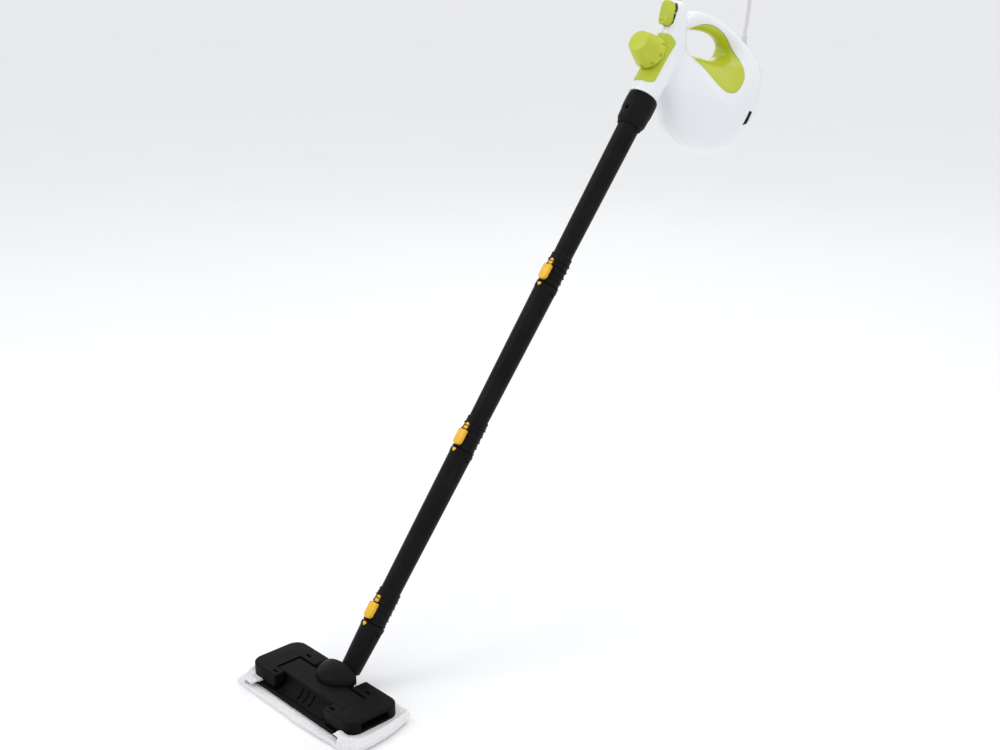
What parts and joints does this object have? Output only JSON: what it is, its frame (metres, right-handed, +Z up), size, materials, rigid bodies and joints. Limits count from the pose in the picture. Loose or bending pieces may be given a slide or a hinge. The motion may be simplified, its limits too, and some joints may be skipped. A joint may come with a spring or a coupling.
{
  "type": "steam mop",
  "caption": "Steam mop with a white egg-shaped hand unit, a jointed black pole, a swivelling floor head with end clamps and a wrapped cloth.",
  "frame": {"origin": "middle of the hand grip, inside the bar of the handle loop, with the mop in its working pose", "axes": "+X along the floor head to the user's left, +Z up, -Y the front, away from the user"},
  "size_m": [0.286, 1.1345, 1.0995],
  "materials": {
    "housing_left": "glossy white moulded plastic",
    "housing_right": "glossy white moulded plastic",
    "grip_inlay": "lime green moulded plastic",
    "control_plate": "lime green moulded plastic",
    "cap_seat": "lime green moulded plastic",
    "safety_cap": "lime green moulded plastic",
    "filler_tube": "turned brass",
    "cap_seal": "black rubber",
    "steam_button": "lime green moulded plastic",
    "button_spring": "plain steel",
    "steam_valve": "turned brass",
    "steam_pipe_up": "silicone hose",
    "steam_pipe_down": "silicone hose",
    "steam_nozzle": "turned brass",
    "boiler": "cast aluminium",
    "heater_ring": "plain steel",
    "thermostat": "plain steel",
    "rear_cover": "glossy white moulded plastic",
    "slot_insert": "black moulded plastic",
    "cord_gland": "white flexible cord sheath",
    "cord": "white flexible cord sheath",
    "cord_coil": "white flexible cord sheath",
    "coil_tie": "black moulded plastic",
    "plug": "white flexible cord sheath",
    "plug_pin_1": "turned brass",
    "plug_pin_2": "turned brass",
    "pole_collar": "black moulded plastic",
    "tube_1": "black moulded plastic",
    "tube_2": "black moulded plastic",
    "tube_3": "black moulded plastic",
    "lock_key_1": "yellow moulded plastic",
    "lock_key_2": "yellow moulded plastic",
    "lock_key_3": "yellow moulded plastic",
    "key_leaf_1": "plain steel",
    "key_leaf_2": "plain steel",
    "key_leaf_3": "plain steel",
    "tube_seal_1": "black rubber",
    "tube_seal_2": "black rubber",
    "tube_seal_3": "black rubber",
    "neck_tube": "black moulded plastic",
    "neck_pin": "plain steel",
    "yoke": "black moulded plastic",
    "dome_cover": "black moulded plastic",
    "swivel_post": "plain steel",
    "head_base": "black moulded plastic",
    "head_core": "black moulded plastic",
    "cloth_clamp_left": "black moulded plastic",
    "cloth_clamp_right": "black moulded plastic",
    "clamp_pin_left": "plain steel",
    "clamp_pin_right": "plain steel",
    "cloth": "white terry microfibre"
  },
  "bodies": {
    "unit": {"housing_left": "housing_left", "housing_right": "housing_right", "grip_inlay": "grip_inlay", "control_plate": "control_plate", "cap_seat": "cap_seat", "filler_tube": "filler_tube", "cap_seal": "cap_seal", "button_spring": "button_spring", "steam_valve": "steam_valve", "steam_pipe_up": "steam_pipe_up", "steam_pipe_down": "steam_pipe_down", "steam_nozzle": "steam_nozzle", "boiler": "boiler", "heater_ring": "heater_ring", "thermostat": "thermostat", "rear_cover": "rear_cover", "slot_insert": "slot_insert", "cord_gland": "cord_gland", "cord": "cord", "cord_coil": "cord_coil", "coil_tie": "coil_tie", "plug": "plug", "plug_pin_1": "plug_pin_1", "plug_pin_2": "plug_pin_2", "pole_collar": "pole_collar", "tube_1": "tube_1", "tube_2": "tube_2", "tube_3": "tube_3", "key_leaf_1": "key_leaf_1", "key_leaf_2": "key_leaf_2", "key_leaf_3": "key_leaf_3", "tube_seal_1": "tube_seal_1", "tube_seal_2": "tube_seal_2", "tube_seal_3": "tube_seal_3", "neck_tube": "neck_tube"},
    "swivel": {"yoke": "yoke", "dome_cover": "dome_cover", "neck_pin": "neck_pin"},
    "head": {"head_base": "head_base", "head_core": "head_core", "swivel_post": "swivel_post", "cloth": "cloth", "clamp_pin_left": "clamp_pin_left", "clamp_pin_right": "clamp_pin_right"},
    "clamp_left": {"cloth_clamp_left": "cloth_clamp_left"},
    "clamp_right": {"cloth_clamp_right": "cloth_clamp_right"},
    "cap": {"safety_cap": "safety_cap"},
    "button": {"steam_button": "steam_button"},
    "key_1": {"lock_key_1": "lock_key_1"},
    "key_2": {"lock_key_2": "lock_key_2"},
    "key_3": {"lock_key_3": "lock_key_3"}
  },
  "joints": [
    {"name": "neck_pitch", "type": "hinge", "parent": "unit", "child": "swivel", "pos_m": [0, -0.85368, -0.99569], "axis": [1, 0, 0], "range_deg": [-13, 36]},
    {"name": "head_yaw", "type": "hinge", "parent": "swivel", "child": "head", "pos_m": [0, -0.8715, -1.0027], "axis": [0, 0, 1], "range_deg": [-35, 35]},
    {"name": "clamp_left_hinge", "type": "hinge", "parent": "head", "child": "clamp_left", "pos_m": [-0.071, -0.9055, -0.9922], "axis": [0, 1, 0], "range_deg": [0, 32], "stiffness_Nm_per_rad": 0.4, "springref_deg": -34.38},
    {"name": "clamp_right_hinge", "type": "hinge", "parent": "head", "child": "clamp_right", "pos_m": [0.071, -0.9055, -0.9922], "axis": [0, -1, 0], "range_deg": [0, 32], "stiffness_Nm_per_rad": 0.4, "springref_deg": -34.38},
    {"name": "cap_turn", "type": "hinge", "parent": "unit", "child": "cap", "pos_m": [0, -0.134, -0.0482], "axis": [0, -0.8339, 0.5519], "range_deg": [0, 120]},
    {"name": "button_press", "type": "slide", "parent": "unit", "child": "button", "axis": [0, 0.9563, -0.2924], "range_m": [0, 0.004], "stiffness_N_per_m": 1200, "springref_m": -0.001},
    {"name": "key_press_1", "type": "slide", "parent": "unit", "child": "key_1", "axis": [0, 0.7835, -0.6214], "range_m": [0, 0.002], "stiffness_N_per_m": 1800, "springref_m": -0.001},
    {"name": "key_press_2", "type": "slide", "parent": "unit", "child": "key_2", "axis": [0, 0.7835, -0.6214], "range_m": [0, 0.002], "stiffness_N_per_m": 1800, "springref_m": -0.001},
    {"name": "key_press_3", "type": "slide", "parent": "unit", "child": "key_3", "axis": [0, 0.7835, -0.6214], "range_m": [0, 0.002], "stiffness_N_per_m": 1800, "springref_m": -0.001}
  ]
}
